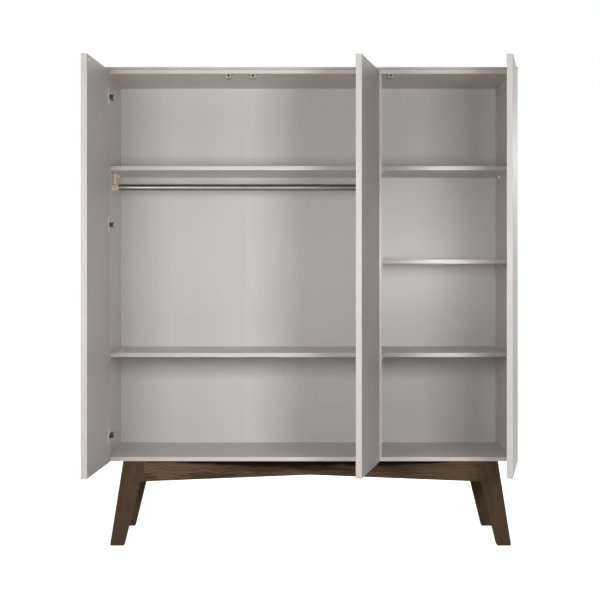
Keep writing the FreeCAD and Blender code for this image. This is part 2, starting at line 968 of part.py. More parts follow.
def floor_board():
    board = block(left_x, right_x, front_y, rear_y, base_height, floor_top_z)
    groove = back_groove(
        inner_left_x - groove_depth,
        inner_right_x + groove_depth,
        floor_top_z - groove_depth,
        floor_top_z,
    )
    cuts = [groove]
    for middle_x, face_x, outward in upright_faces:
        cuts += dowels_for(middle_x, overrun) + long_screw_holes(middle_x)
    cuts += [small_screw_hole(point, way) for point, way in all_base_screws() if way.z > 0]
    return cut_all(board, cuts)


def shelf(x_low, x_high, shelf_z):
    y_low = front_y + shelf_setback
    y_high = sheet_front_y - shelf_rear_clearance
    side = shelf_side_clearance
    return block(
        x_low + side, x_high - side, y_low, y_high, shelf_z, shelf_z + board_thickness
    )


def back_sheet(x_low, x_high):
    reach = groove_depth - groove_clearance
    return block(
        x_low,
        x_high,
        sheet_front_y,
        sheet_front_y + back_thickness,
        floor_top_z - reach,
        ceiling_z + reach,
    )


def joint_strip():
    """An H-shaped strip between two back sheets."""
    y_low = sheet_front_y - strip_skin
    y_high = sheet_front_y + back_thickness + strip_skin
    x_low = seam_x - strip_width / 2
    x_high = seam_x + strip_width / 2
    body = block(x_low, x_high, y_low, y_high, floor_top_z, ceiling_z)
    slots = []
    for side in (-1, 1):
        slot_x = sorted((seam_x + side * strip_skin / 2, seam_x + side * strip_width))
        slot_y = (sheet_front_y, sheet_front_y + back_thickness)
        slots.append(block(*slot_x, *slot_y, floor_top_z, ceiling_z))
    return cut_all(body, slots)


def strip_relief():
    """The room that the joint strip needs at the rear of the wide shelves."""
    y_low = sheet_front_y - strip_skin - shelf_rear_clearance
    half = strip_width / 2 + shelf_rear_clearance
    return block(seam_x - half, seam_x + half, y_low, sheet_front_y, floor_top_z, ceiling_z)


def make_carcass():
    nodes["side_panel_left"] = side_panel(inner_left_x, X_AXIS, upright_faces[0][0])
    nodes["side_panel_right"] = side_panel(inner_right_x, -X_AXIS, upright_faces[2][0])
    nodes["divider_panel"] = divider()
    nodes["top_panel"] = top_board()
    nodes["bottom_panel"] = floor_board()
    cap_front = door_back_y - door_thickness
    nodes["top_cap"] = block(
        left_x + cap_end_inset,
        right_x - cap_end_inset,
        cap_front,
        rear_y,
        top_z,
        top_z + cap_thickness,
    )


def make_back():
    reach = groove_depth - groove_clearance
    web = strip_skin / 2
    nodes["back_sheet_left"] = back_sheet(inner_left_x - reach, seam_x - web)
    nodes["back_sheet_middle"] = back_sheet(seam_x + web, divider_x - sheet_joint / 2)
    nodes["back_sheet_right"] = back_sheet(divider_x + sheet_joint / 2, inner_right_x + reach)
    nodes["back_joint_strip"] = joint_strip()


def make_shelves():
    for name, height in (("lower", lower_shelf_z), ("upper", upper_shelf_z)):
        board = shelf(inner_left_x, divider_left_x, height).cut(strip_relief())
        if name == "upper":
            pegs = []
            for face_x, inward, side in rail_hangers:
                start = peg_point(face_x, inward)
                pegs.append(rod(hanger_peg_radius, hanger_peg_length, start, Z_AXIS))
            board = cut_all(board, pegs)
        nodes["wide_shelf_" + name] = board
    for name, height in zip(("lower", "middle", "upper"), narrow_shelves):
        nodes["narrow_shelf_" + name] = shelf(divider_right_x, inner_right_x, height)


def make_shelf_pins():
    pins = []
    carriers = [
        (inner_left_x, X_AXIS, wide_shelves),
        (divider_left_x, -X_AXIS, wide_shelves),
        (divider_right_x, X_AXIS, narrow_shelves),
        (inner_right_x, -X_AXIS, narrow_shelves),
    ]
    for face_x, outward, heights in carriers:
        for shelf_z in heights:
            for point in pin_points(face_x, shelf_z):
                pins.append(shelf_pin(point, outward, shelf_z))
    nodes["shelf_pins"] = Part.makeCompound(pins)


def cam_disc(point, outward):
    """A cam with a driver slot and a notch for its bolt."""
    disc = rod(cam_radius, cam_depth, point, -outward)
    slot = Part.makeBox(
        cam_slot_depth * 2,
        cam_slot_width,
        cam_slot_length,
        point - at(cam_slot_depth, cam_slot_width / 2, cam_slot_length / 2),
    )
    middle_x = point.x - outward.x * board_thickness / 2
    bolt = rod(bolt_hole_radius, cam_radius * 2, at(middle_x, point.y, point.z), Z_AXIS)
    return cut_all(disc, [slot, bolt])


def make_carcass_fasteners():
    cams = []
    bolts = []
    pegs = []
    screws = []
    bolt_length = cam_end_distance + bolt_thread_length
    for middle_x, face_x, outward in upright_faces:
        for point in cam_points(face_x):
            cams.append(cam_disc(point, outward))
            bolts.append(rod(bolt_radius, bolt_length, at(middle_x, point.y, point.z), Z_AXIS))
        pegs += dowels_for(middle_x)
        screws += long_screws_for(middle_x)
    nodes["cam_discs"] = Part.makeCompound(cams)
    nodes["cam_bolts"] = Part.makeCompound(bolts)
    nodes["carcass_screws"] = Part.makeCompound(screws)
    for side in (-1, 1):
        for y_low in (front_leg_y, rear_leg_y):
            pegs += frame_dowel_set(side, y_low)
    nodes["dowels"] = Part.makeCompound(pegs)


def make_rail():
    nodes["hanging_rail"] = rail_tube()
    screws = []
    for face_x, inward, side in rail_hangers:
        nodes["rail_bracket_" + side] = rail_bracket(face_x, inward)
        start = rail_axis_point(face_x + inward * socket_floor)
        screws.append(small_screw(start, X_AXIS * -inward))
        screws.append(grub_screw(face_x, inward))
    nodes["rail_screws"] = Part.makeCompound(screws)


def make_base():
    for row, y_low in (("front", front_leg_y), ("rear", rear_leg_y)):
        for side_name, side in (("left", -1), ("right", 1)):
            nodes["leg_" + row + "_" + side_name] = leg(side, y_low)
        nodes[row + "_apron"] = apron_with_screw_holes(y_low)
    nodes["side_rail_left"] = side_rail(-1)
    nodes["side_rail_right"] = side_rail(1)
    rows = [(side, y_low) for side in (-1, 1) for y_low in (front_leg_y, rear_leg_y)]
    nodes["foot_glides"] = Part.makeCompound([glide(*row) for row in rows])
    brackets = [base_bracket(*place) for place in base_bracket_places()]
    nodes["base_brackets"] = Part.makeCompound(brackets)
    screws = [small_screw(point, way) for point, way in all_base_screws()]
    nodes["base_screws"] = Part.makeCompound(screws)


def apron_with_screw_holes(y_low):
    sign = -1 if y_low < 0 else 1
    tools = [
        small_screw_hole(point, way) for point, way in all_base_screws() if way.y * sign > 0
    ]
    return cut_all(apron(y_low), tools)


def make_hinges():
    plates = []
    arms = []
    screws = []
    for line in hinge_lines:
        for height in hinge_heights:
            plates.append(mounting_plate(line, height))
            arms.append(hinge_arm(line, height))
            for point in plate_screw_points(line, height):
                screws.append(small_screw(point, -line.direction))
            for y in arm_screw_places():
                screws.append(arm_screw(line, height, y))
    nodes["hinge_plates"] = Part.makeCompound(plates)
    nodes["hinge_arms"] = Part.makeCompound(arms)
    nodes["hinge_screws"] = Part.makeCompound(screws)


def make_doors():
    for line in hinge_lines:
        nodes["door_" + line.name] = line.opened(door_panel(line))
        cups = [hinge_cup(line, height) for height in hinge_heights]
        nodes["hinge_cups_" + line.name] = line.opened(Part.makeCompound(cups))
        points = [p for height in hinge_heights for p in cup_screw_points(line, height)]
        screws = [small_screw(point, -Y_AXIS) for point in points]
        nodes["cup_screws_" + line.name] = line.opened(Part.makeCompound(screws))
        links = [hinge_link(line, height) for height in hinge_heights]
        nodes["hinge_links_" + line.name] = line.opened(Part.makeCompound(links), link_share)
        nodes["strike_plate_" + line.name] = line.opened(strike_plate(line))


def make_latches():
    nodes["latch_housings"] = Part.makeCompound([latch_housing(line) for line in hinge_lines])
    points = [point for line in hinge_lines for point in latch_screw_points(line)]
    screws = [small_screw(point, Z_AXIS) for point in points]
    nodes["latch_screws"] = Part.makeCompound(screws)
    for line in hinge_lines:
        nodes["latch_plunger_" + line.name] = latch_plunger(line)


make_carcass()
make_back()
make_shelves()
make_shelf_pins()
make_carcass_fasteners()
make_rail()
make_base()
make_hinges()
make_doors()
make_latches()

os.makedirs("parts", exist_ok=True)
for name, shape in nodes.items():
    shape.exportStep("parts/" + name + ".step")
    print(name, len(shape.Solids), "solids", round(shape.Volume))
for line in hinge_lines:
    print("pivot", line.name, round(line.pivot_x, 3), round(pivot_y, 3))
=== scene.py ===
import json
import math

import bmesh
import bpy
import numpy as np
from bpy.props import FloatProperty, FloatVectorProperty, IntProperty, PointerProperty
from mathutils import Matrix, Vector


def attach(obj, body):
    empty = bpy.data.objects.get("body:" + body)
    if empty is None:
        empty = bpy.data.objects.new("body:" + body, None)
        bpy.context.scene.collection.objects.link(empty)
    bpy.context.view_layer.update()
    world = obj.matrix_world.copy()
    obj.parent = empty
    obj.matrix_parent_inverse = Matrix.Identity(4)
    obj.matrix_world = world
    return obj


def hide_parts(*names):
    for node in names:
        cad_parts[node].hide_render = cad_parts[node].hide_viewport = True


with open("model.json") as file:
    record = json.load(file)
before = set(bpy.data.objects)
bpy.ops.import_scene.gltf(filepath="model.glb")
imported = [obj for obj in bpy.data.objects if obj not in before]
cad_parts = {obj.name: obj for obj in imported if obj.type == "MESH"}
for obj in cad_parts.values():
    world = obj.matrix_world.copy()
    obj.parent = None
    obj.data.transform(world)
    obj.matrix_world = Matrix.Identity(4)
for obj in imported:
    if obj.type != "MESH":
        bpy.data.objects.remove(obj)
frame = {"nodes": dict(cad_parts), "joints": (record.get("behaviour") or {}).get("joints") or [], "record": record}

bl_info = {
    "name": "Wardrobe with Three Doors",
    "version": (1, 0, 0),
    "blender": (4, 5, 0),
    "location": "3D View > Sidebar > Wardrobe",
    "description": "Dresses the wardrobe's frame: boards, timber base, fittings and stage",
    "category": "Object",
}

BODY_OF = {
    node: body
    for body, members in frame["record"]["behaviour"]["bodies"].items()
    for node in members
}
SLOT_OF = {row["node"]: row["material_slot"] for row in frame["record"]["subparts"]}
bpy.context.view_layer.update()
RAIL_TOP = max(corner[2] for corner in frame["nodes"]["front_apron"].bound_box)

# Lengths are in metres, areas in square metres and angles in radians.
MERGE_DISTANCE = 1e-6
FLAT_ANGLE = math.radians(0.4)
ROUNDED_ANGLE = math.radians(50)
CREASE_ANGLE = math.radians(32)
TURNED_CREASE_ANGLE = math.radians(35)
WIDE_AREA = 0.1
SCREW_RINGS, PIN_RINGS = 26, 30
PIN_FLAT = 0.0035
PIN_WASTE = (0.04, 0.02, 0.04)
STEP_TOLERANCE = 0.00001
END_SHARE = 0.8
RIM_SHARE = 0.9
HEAD_HEIGHT_SHARE = 0.52
RECESS_SHARES = {"Recess Width": 0.26, "Recess Reach": 0.6, "Recess Depth": 0.3}
FLOOR_SIZE, FLOOR_GLOW = 30.0, 0.92
FLOOR_NEAR, FLOOR_FAR = 1.6, 4.0
SENSOR_WIDTH = 36.0
WHITE = (1, 1, 1, 1)
SIDES = ("left", "middle", "right")


def linear(red, green, blue):
    """Display values from 0 to 255 as the linear colour that Blender works in."""
    shares = [value / 255 for value in (red, green, blue)]
    return tuple(
        share / 12.92 if share <= 0.04045 else ((share + 0.055) / 1.055) ** 2.4
        for share in shares
    )


def colour_setting(name, description, *display):
    return FloatVectorProperty(
        name=name, description=description, default=linear(*display),
        subtype="COLOR", size=3, min=0, max=1,
    )


def length_setting(name, description, default):
    return FloatProperty(
        name=name, description=description, default=default, min=0, unit="LENGTH", precision=4
    )


def share_setting(name, description, default):
    return FloatProperty(
        name=name, description=description, default=default, min=0, max=1, subtype="FACTOR"
    )


def power_setting(name, description, default):
    return FloatProperty(
        name=name, description=description, default=default, min=0, unit="POWER", precision=3
    )


# Settings

class BoardSettings(bpy.types.PropertyGroup):
    """Sizes and colours of the lacquered boards."""

    door_rounding: length_setting("Door rounding", "Radius on the edges of the doors", 0.0014)
    board_rounding: length_setting("Board rounding", "Radius on the edges of the boards", 0.0007)
    strip_rounding: length_setting("Strip rounding", "Radius on the back's joint strip", 0.0004)
    carcass_colour: colour_setting("Carcass", "Lacquer of the carcass and shelves", 212, 206, 200)
    cap_colour: colour_setting("Cap", "Lacquer of the cap board", 204, 199, 196)
    door_colour: colour_setting("Doors", "Lacquer of the doors", 196, 191, 186)
    back_colour: colour_setting("Back", "Lacquer of the back sheets", 218, 216, 212)
    edge_gloss: share_setting("Edge roughness", "How matt the narrow edges are", 0.46)
    gloss: share_setting("Board roughness", "How matt the faces of the carcass are", 0.34)
    door_gloss: share_setting("Door roughness", "How matt the faces of the doors are", 0.4)


class TimberSettings(bpy.types.PropertyGroup):
    """Sizes and colours of the stained base."""

    rounding: length_setting("Rounding", "Radius on the edges of the legs and rails", 0.0012)
    angle_rounding: length_setting("Angle rounding", "Radius on the steel angles", 0.0004)
    pale_colour: colour_setting("Pale wood", "Stained wood between the grain lines", 106, 87, 69)
    dark_colour: colour_setting("Dark wood", "Stained wood in the grain lines", 62, 46, 35)
    ring_width: length_setting("Ring width", "Distance between the grain lines", 0.014)
    leg_shade: share_setting("Leg shade", "Share of the rails' colour that the legs keep", 0.8)
    rail_top: length_setting("Rail top", "Height of the rails' top edge", RAIL_TOP)
    painted_shadow_depth: length_setting("Painted shadow depth", "Height of the painted shadow along the rails' top edge", 0.034)
    painted_shade_reach: length_setting("Painted shade reach", "Half the length of the painted shade on the rails", 0.6)


class FittingSettings(bpy.types.PropertyGroup):
    """Sizes and colours of hinges, latches, rail, pins, screws and other small parts."""

    metal_rounding: length_setting("Metal rounding", "Radius on the edges of the hinges", 0.0003)
    plastic_rounding: length_setting("Plastic rounding", "Radius on the mouldings", 0.0005)
    chrome_colour: colour_setting("Chrome", "Plating of the hanging rail", 128, 129, 128)
    nickel_colour: colour_setting("Nickel", "Plating of the cups and plates", 220, 215, 207)
    arm_shade_colour: colour_setting("Shaded arms", "Nickel darkened as painted shade on the hinge arms and links", 88, 80, 71)
    ivory_colour: colour_setting("Ivory", "Moulding of the rail brackets", 222, 214, 196)
    pin_colour: colour_setting("Pins", "Moulding of the shelf pins", 250, 246, 238)
    zinc_colour: colour_setting("Zinc", "Plating of the cams, angles and their screws", 80, 75, 68)
    steel_colour: colour_setting("Dark steel", "Finish of the small dark screws", 72, 69, 66)
    latch_colour: colour_setting("Latches", "Moulding of the latch housings", 168, 162, 154)
    plunger_colour: colour_setting("Plungers", "Moulding of the latch plungers", 30, 26, 23)
    glide_colour: colour_setting("Glides", "Moulding of the glides under the feet", 52, 46, 42)
    dowel_colour: colour_setting("Dowels", "Bare wood of the dowels", 214, 180, 136)
    sides: IntProperty(
        name="Sides", description="Sides of a turned fitting", default=20, min=8, max=48
    )


class StageSettings(bpy.types.PropertyGroup):
    """Camera, floor and lamps."""

    eye: FloatVectorProperty(
        name="Eye", description="Place of the camera", default=(-0.117, -6.80, 1.078),
        size=3, unit="LENGTH", subtype="TRANSLATION",
    )
    lens: FloatProperty(
        name="Lens", description="Focal length in millimetres", default=101.27, min=1
    )
    shift_across: FloatProperty(name="Shift across", description="Camera shift", default=0.0327)
    shift_up: FloatProperty(name="Shift up", description="Camera shift", default=-0.0545)
    ambient: FloatProperty(
        name="Ambient", description="Strength of the even light", default=0.04, min=0
    )
    right_power: power_setting("Right lamp", "Power of the lamp before the right bay", 48.6)
    left_power: power_setting("Left lamp", "Power of the lamp before the left door", 36.0)
    near_power: power_setting("Near corner lamp", "Power of the lamp left of the doors", 15.1)
    far_power: power_setting("Far corner lamp", "Power of the lamp farthest left", 8.8)
    top_power: power_setting("Top lamp", "Power of the wide lamp above", 14.2)
    high_power: power_setting("High lamp", "Power of the lamp above the camera", 4.8)
    bay_power: power_setting("Bay lamp", "Power of the narrow beam into the right bay", 0.19)
    rear_power: power_setting("Rear lamp", "Power of the lamp behind the wardrobe", 48.0)
    side_power: power_setting("Side lamp", "Power of the lamp beside the right door", 3.0)


# Node building

class Signal:
    """An output socket; a sum on it adds Math nodes to its tree."""

    def __init__(self, builder, socket):
        self.builder = builder
        self.socket = socket

    def math(self, operation, *values):
        return self.builder.node("ShaderNodeMath", {"operation": operation}, values)

    def __add__(self, other):
        return self.math("ADD", self, other)

    def __sub__(self, other):
        return self.math("SUBTRACT", self, other)

    def __rsub__(self, other):
        return self.math("SUBTRACT", other, self)

    def __mul__(self, other):
        return self.math("MULTIPLY", self, other)

    def __truediv__(self, other):
        return self.math("DIVIDE", self, other)

    def __abs__(self):
        return self.math("ABSOLUTE", self)

    __radd__ = __add__
    __rmul__ = __mul__

    def fraction(self):
        return self.math("FRACT", self)

    def larger(self, other):
        return self.math("MAXIMUM", self, other)

    def smaller(self, other):
        return self.math("MINIMUM", self, other)

    def above(self, edge):
        return self.math("GREATER_THAN", self, edge)

    def between(self, low, high):
        """0 at low, 1 at high, smooth between."""
        return self.builder.node(
            "ShaderNodeMapRange", {"interpolation_type": "SMOOTHSTEP"}, [self, low, high, 0.0, 1.0]
        )


class Builder:
    """Adds nodes to a tree, and returns their outputs as signals."""

    def __init__(self, tree):
        self.tree = tree

    def node(self, kind, settings=None, values=(), out=0):
        """A node of one kind: first its settings, then the values or links of its sockets."""
        made = self.tree.nodes.new(kind)
        for name, value in (settings or {}).items():
            setattr(made, name, value)
        pairs = values.items() if isinstance(values, dict) else enumerate(values)
        for key, value in pairs:
            if isinstance(value, Signal):
                self.tree.links.new(value.socket, made.inputs[key])
            else:
                made.inputs[key].default_value = value
        return Signal(self, made.outputs[out]) if made.outputs else None


class Finish(Builder):
    """One material under construction, on object coordinates in metres."""

    def __init__(self, name):
        self.material = bpy.data.materials.new(name)
        self.material.use_nodes = True
        super().__init__(self.material.node_tree)
        self.tree.nodes.clear()
        self.place = self.node("ShaderNodeTexCoord", out="Object")
        split = self.node("ShaderNodeSeparateXYZ", None, [self.place])
        outputs = split.socket.node.outputs
        self.x, self.y, self.z = (Signal(self, outputs[axis]) for axis in "XYZ")

    def stretched(self, across, along, up):
        """Object coordinates, multiplied along the three axes."""
        return self.node(
            "ShaderNodeVectorMath", {"operation": "MULTIPLY"}, [self.place, (across, along, up)]
        )

    def vector(self, *parts):
        return self.node("ShaderNodeCombineXYZ", None, parts)

    def noise(self, place, scale, detail=2.0, roughness=0.5, distortion=0.0):
        values = {
            "Vector": place, "Scale": scale, "Detail": detail,
            "Roughness": roughness, "Distortion": distortion,
        }
        return self.node("ShaderNodeTexNoise", None, values)

    def mixed(self, share, first, second):
        """Two colours mixed by a share; the sockets of a colour mix are 0, 6 and 7, and out 2."""
        values = {0: share, 6: first, 7: second}
        return self.node("ShaderNodeMix", {"data_type": "RGBA"}, values, out=2)

    def bump(self, height, depth, strength, under=None):
        values = {"Strength": strength, "Distance": depth, "Height": height}
        if under:
            values["Normal"] = under
        return self.node("ShaderNodeBump", None, values)

    def noted(self, name):
        """An attribute that softened() writes: rounding on rounded edges, broad on wide faces."""
        return self.node("ShaderNodeAttribute", {"attribute_name": name}, out="Fac")

    def done(self, **values):
        """Ends the tree in one surface shader; the names are its sockets' own."""
        sockets = {name.replace("_", " "): value for name, value in values.items()}
        surface = self.node("ShaderNodeBsdfPrincipled", None, sockets)
        self.node("ShaderNodeOutputMaterial", None, [surface])
        return self.material


def opaque(colour):
    return (*colour, 1.0)


def scaled(colour, share):
    return tuple(min(1.0, value * share) for value in colour) + (1.0,)


# Finishes

def lacquer(name, colour, roughness, edge_roughness):
    """Satin lacquer: sprayed skin, faint clouds, roller grain and more matt narrow edges."""
    finish = Finish(name)
    broad = finish.noted("broad")
    clouds = finish.noise(finish.place, 2.6, 3.0)
    specks = finish.noise(finish.place, 420.0, 2.0)
    skin = finish.noise(finish.place, 650.0, 1.5)
    rolled = finish.noise(finish.stretched(1.0, 1.0, 0.22), 190.0, 3.0)
    edge = finish.noted("rounding")
    worn = edge * finish.noise(finish.place, 38.0, 3.0).between(0.46, 0.62)
    base = finish.mixed(clouds.between(0.3, 0.7) * 0.5, opaque(colour), scaled(colour, 0.955))
    base = finish.mixed(specks.between(0.35, 0.75) * 0.18, base, scaled(colour, 0.92))
    base = finish.mixed(worn * 0.12, base, scaled(colour, 1.1))
    gloss = edge_roughness + (roughness - edge_roughness) * broad
    gloss = gloss + 0.06 * (clouds - 0.5) + 0.06 * (rolled - 0.5)
    fine = finish.bump(skin, 0.00004, 0.22)
    waves = finish.bump(rolled, 0.00003, 0.2, fine)
    return finish.done(Base_Color=base, Roughness=gloss, Normal=waves, IOR=1.48)


def back_lacquer(name, colour, roughness):
    """Thin lacquered sheet with the fine grain of its fibres showing through."""
    finish = Finish(name)
    clouds = finish.noise(finish.place, 2.1, 3.0)
    fibres = finish.noise(finish.stretched(1.0, 1.0, 0.55), 360.0, 4.0, 0.65)
    pits = finish.noise(finish.place, 900.0, 2.0)
    streaks = finish.noise(finish.stretched(1.0, 1.0, 0.04), 60.0, 3.0)
    base = finish.mixed(clouds.between(0.3, 0.7) * 0.4, opaque(colour), scaled(colour, 0.96))
    base = finish.mixed(fibres.between(0.38, 0.72) * 0.5, base, scaled(colour, 0.9))
    base = finish.mixed(streaks.between(0.4, 0.7) * 0.25, base, scaled(colour, 0.95))
    gloss = roughness + 0.16 * (fibres - 0.5) + 0.08 * (clouds - 0.5)
    grain = finish.bump(fibres, 0.00018, 0.5)
    fine = finish.bump(pits, 0.00008, 0.5, grain)
    return finish.done(Base_Color=base, Roughness=gloss, Normal=fine, IOR=1.48)


def timber(name, look, along):
    """Dark stained ash: wavy grain lines, open pores along the grain, worn edges; on the front and rear rails,
    painted shade in the middle and a painted shadow along the top edge.
    """
    finish = Finish(name)
    if along == "leg":
        length, height, depth = finish.z, abs(finish.x) + 0.2 * finish.z, finish.y
        spacing, waves, figure, shade = look.ring_width * 0.4, 0.6, 0.4, look.leg_shade
    else:
        length, height, depth = (
            (finish.x, finish.z, finish.y) if along == "X" else (finish.y, finish.z, finish.x)
        )
        spacing, shade = look.ring_width, 1.0
        waves = (0.6 - 0.7 * length).between(0.1, 1.0) + 0.15
        figure = 0.35 + 0.45 * waves

    def grain(lengthwise, crosswise, detail, roughness=0.5):
        """Noise with so many cycles a metre along the grain and across it."""
        place = finish.vector(length * lengthwise, height * crosswise, depth * crosswise)
        return finish.noise(place, 1.0, detail, roughness)

    bend = grain(9.0, 7.0, 2.5)
    drift = grain(1.6, 3.0, 1.0)
    ripple = grain(60.0, 60.0, 2.0)
    bent = waves * (3.4 * bend + 3.4 * drift + 0.6 * ripple)
    phase = ((height + 0.7 * depth) * (1.0 / spacing) + bent).fraction()
    late = phase.between(0.25, 0.85) * (1.0 - phase.between(0.88, 1.0))
    pores = grain(26.0, 900.0, 2.0, 0.7).between(0.56, 0.68)
    fibre = grain(7.0, 420.0, 3.0, 0.6)
    broad = grain(2.0, 7.0, 2.0)
    pale, dark = (scaled(colour, shade)[:3] for colour in (look.pale_colour, look.dark_colour))
    tone = finish.mixed(broad.between(0.3, 0.7) * 0.55, opaque(pale), scaled(pale, 0.75))
    patches = grain(9.0, 24.0, 1.5)
    if along != "leg":
        clear = (1.0 - patches).between(0.42, 0.6) * (waves - 0.15)
        tone = finish.mixed(clear, tone, scaled(pale, 1.34))
    figure = figure * (0.3 + 0.7 * patches.between(0.34, 0.58))
    tone = finish.mixed(late * (0.85 * figure), tone, opaque(dark))
    tone = finish.mixed(fibre.between(0.35, 0.7) * 0.3, tone, scaled(dark, 0.9))
    tone = finish.mixed(pores * 0.5, tone, scaled(dark, 0.5))
    if along == "X":
        # Painted shade of the open middle door: the rail darkens towards its middle, broken by paler grain
        # streaks.
        middle = (1.0 - (finish.x * finish.x) * (1.0 / look.painted_shade_reach ** 2)).larger(0.0)
        place = finish.vector(length * 3.0, height * 75.0 + 2.2 * bend, depth)
        streaks = finish.noise(place, 1.0, 2.0).between(0.42, 0.6)
        tone = finish.mixed(middle * (0.95 - 0.62 * streaks), tone, opaque(dark))
        # Painted shadow: a near-black band along the rail's top edge, where the floor board's shadow falls.
        tone = finish.mixed(painted_shadow_band(finish, look), tone, scaled(dark, 0.22))
    edge = finish.noted("rounding")
    worn = edge * finish.noise(finish.place, 26.0, 3.0).between(0.4, 0.62)
    tone = finish.mixed(worn * 0.25, tone, scaled(pale, 1.1))
    gloss = 0.8 + 0.12 * pores + 0.1 * (fibre - 0.5)
    surface = 0.55 * (1.0 - pores) + 0.25 * (1.0 - late) + 0.2 * fibre
    relief = finish.bump(surface, 0.0004, 0.55)
    return finish.done(
        Base_Color=tone, Roughness=gloss, Normal=relief, IOR=1.15, Specular_IOR_Level=0.12
    )


def painted_shadow_band(finish, look):
    """1 in the painted shadow of the floor board along a rail's top edge, which is deepest in the middle."""
    across = finish.x * (1.0 / look.painted_shade_reach)
    depth = look.painted_shadow_depth * (1.0 - across * across).larger(0.13)
    below = (look.rail_top - finish.z) / depth
    wander = finish.noise(finish.vector(finish.x * 12.0, 0.0, finish.z * 40.0), 1.0, 2.0)
    return 1.0 - (below + 0.7 * (wander - 0.5)).between(0.4, 1.0)


def metal(name, colour, roughness, lines=(1.0, 1.0, 1.0), dull=0.1, lift=0.4):
    """Plated metal with fine drawing lines, faint stains and softer patches."""
    finish = Finish(name)
    drawn = finish.noise(finish.stretched(*lines), 900.0, 3.0, 0.6)
    stains = finish.noise(finish.place, 75.0, 3.0)
    edge = finish.noted("rounding")
    base = finish.mixed(stains.between(0.42, 0.72) * 0.5, opaque(colour), scaled(colour, 0.84))
    base = finish.mixed(drawn.between(0.3, 0.8) * 0.22, base, scaled(colour, 0.8))
    base = finish.mixed(edge * 0.4, base, scaled(colour, 1.12))
    gloss = roughness + dull * (stains - 0.5) + dull * 0.8 * (drawn - 0.5)
    relief = finish.bump(drawn, 0.00002, lift)
    return finish.done(Base_Color=base, Roughness=gloss, Metallic=1.0, Normal=relief)


def moulding(name, colour, roughness):
    """Moulded plastic: fine tool texture and faint flow marks."""
    finish = Finish(name)
    sparks = finish.noise(finish.place, 1500.0, 2.0)
    flow = finish.noise(finish.place, 55.0, 2.0, 0.5, 0.6)
    edge = finish.noted("rounding")
    base = finish.mixed(flow.between(0.35, 0.7) * 0.4, opaque(colour), scaled(colour, 0.93))
    base = finish.mixed(sparks.between(0.4, 0.8) * 0.25, base, scaled(colour, 0.9))
    base = finish.mixed(edge * 0.3, base, scaled(colour, 1.08))
    gloss = roughness + 0.12 * (sparks - 0.5) + 0.08 * (flow - 0.5)
    relief = finish.bump(sparks, 0.00003, 0.5)
    return finish.done(Base_Color=base, Roughness=gloss, Normal=relief, IOR=1.49)


def bare_beech(name, colour):
    """Bare beech with short dark rays."""
    finish = Finish(name)
    grain = finish.noise(finish.stretched(60.0, 300.0, 300.0), 1.0, 3.0)
    rays = finish.noise(finish.stretched(220.0, 900.0, 900.0), 1.0, 2.0).between(0.58, 0.7)
    base = finish.mixed(grain.between(0.3, 0.7) * 0.5, opaque(colour), scaled(colour, 0.8))
    base = finish.mixed(rays * 0.5, base, scaled(colour, 0.55))
    relief = finish.bump(grain, 0.0001, 0.4)
    return finish.done(Base_Color=base, Roughness=0.62 + 0.1 * (grain - 0.5), Normal=relief)


FINISHES = {}


def finish_for(slot, along=None):
    """The material of one slot, made when it is first asked for."""
    key = (slot, along)
    if key in FINISHES:
        return FINISHES[key]
    scene = bpy.context.scene
    boards, fittings = scene.wardrobe_boards, scene.wardrobe_fittings
    makers = {
        "carcass_lacquer": lambda: lacquer(
            slot, boards.carcass_colour, boards.gloss, boards.edge_gloss
        ),
        "cap_lacquer": lambda: lacquer(
            slot, boards.cap_colour, boards.gloss, boards.edge_gloss
        ),
        "door_lacquer": lambda: lacquer(
            slot, boards.door_colour, boards.door_gloss, boards.edge_gloss
        ),
        "back_sheet": lambda: back_lacquer(slot, boards.back_colour, boards.edge_gloss),
        "strip_plastic": lambda: moulding(slot, boards.back_colour, 0.5),
        "stained_timber": lambda: timber(
            f"{slot}_{along}", scene.wardrobe_timber, along
        ),
        "dowel_wood": lambda: bare_beech(slot, fittings.dowel_colour),
        "chrome": lambda: metal(
            slot, fittings.chrome_colour, 0.3, lines=(0.02, 1.0, 1.0), dull=0.02, lift=0.01
        ),
        # Hinge arms and links take the nickel darkened to a painted shade, standing in for the shade in the
        # hinge's recess.
        "nickel": lambda: metal(
            f"{slot}_{along or 'plain'}",
            fittings.arm_shade_colour if along == "arm" else fittings.nickel_colour, 0.45,
        ),
        "zinc": lambda: metal(slot, fittings.zinc_colour, 0.42),
        "dark_steel": lambda: metal(slot, fittings.steel_colour, 0.4),
        "ivory_plastic": lambda: moulding(slot, fittings.ivory_colour, 0.36),
        "pin_plastic": lambda: moulding(slot, fittings.pin_colour, 0.3),
        "latch_plastic": lambda: moulding(slot, fittings.latch_colour, 0.5),
        "dark_plastic": lambda: moulding(slot, fittings.plunger_colour, 0.5),
        "glide_plastic": lambda: moulding(slot, fittings.glide_colour, 0.5),
    }
    FINISHES[key] = makers[slot]()
    return FINISHES[key]


# Pieces

def plain_object(name, mesh):
    piece = bpy.data.objects.new(name, mesh)
    bpy.context.scene.collection.objects.link(piece)
    return piece


def baked(piece):
    """Turns the piece and its modifiers into a plain mesh."""
    graph = bpy.context.evaluated_depsgraph_get()
    mesh = bpy.data.meshes.new_from_object(piece.evaluated_get(graph))
    piece.modifiers.clear()
    piece.data = mesh


def settle(piece, node):
    """The piece rides with the node's body and stands for the node."""
    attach(piece, BODY_OF[node])
    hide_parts(node)


def merged(node):
    """A bmesh copy of a CAD node with its triangles joined at their corners."""
    shape = bmesh.new()
    shape.from_mesh(frame["nodes"][node].data)
    bmesh.ops.remove_doubles(shape, verts=shape.verts, dist=MERGE_DISTANCE)
    return shape


